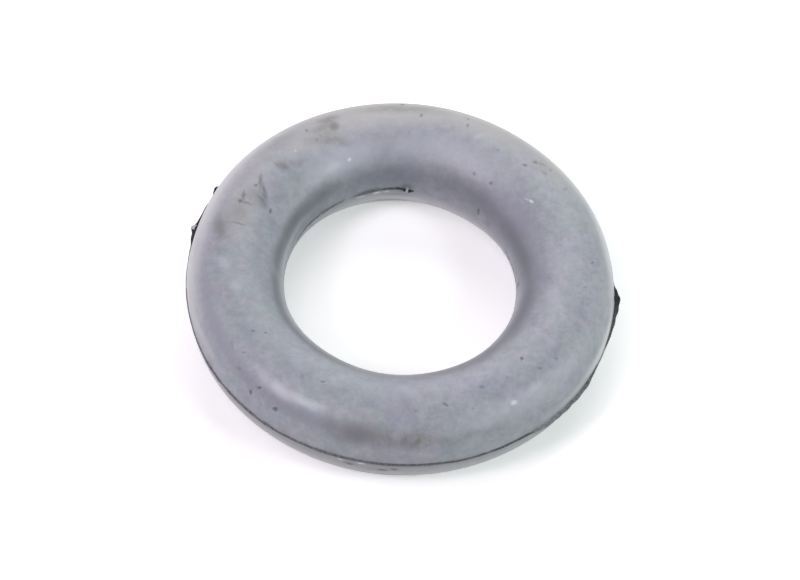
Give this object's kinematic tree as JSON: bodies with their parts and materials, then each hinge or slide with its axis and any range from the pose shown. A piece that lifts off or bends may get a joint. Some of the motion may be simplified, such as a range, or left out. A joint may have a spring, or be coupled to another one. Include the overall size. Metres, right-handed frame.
{
  "type": "exhaust hanger",
  "caption": "Round-section rubber ring that hangs an exhaust pipe from a hook under the floor, with a moulded parting line and torn flash.",
  "frame": {"origin": "centre of the ring, on its axis and in the plane where the two mould halves met", "axes": "+Z along the ring's axis, upwards as it lies flat; +X to the right and -Y towards the viewer of the pictured side"},
  "size_m": [0.0637, 0.063, 0.0142],
  "materials": {
    "bloomed_rubber": "moulded rubber with a dry blue grey bloom, satin"
  },
  "bodies": {
    "root": {"rubber_ring": "bloomed_rubber"}
  },
  "joints": []
}
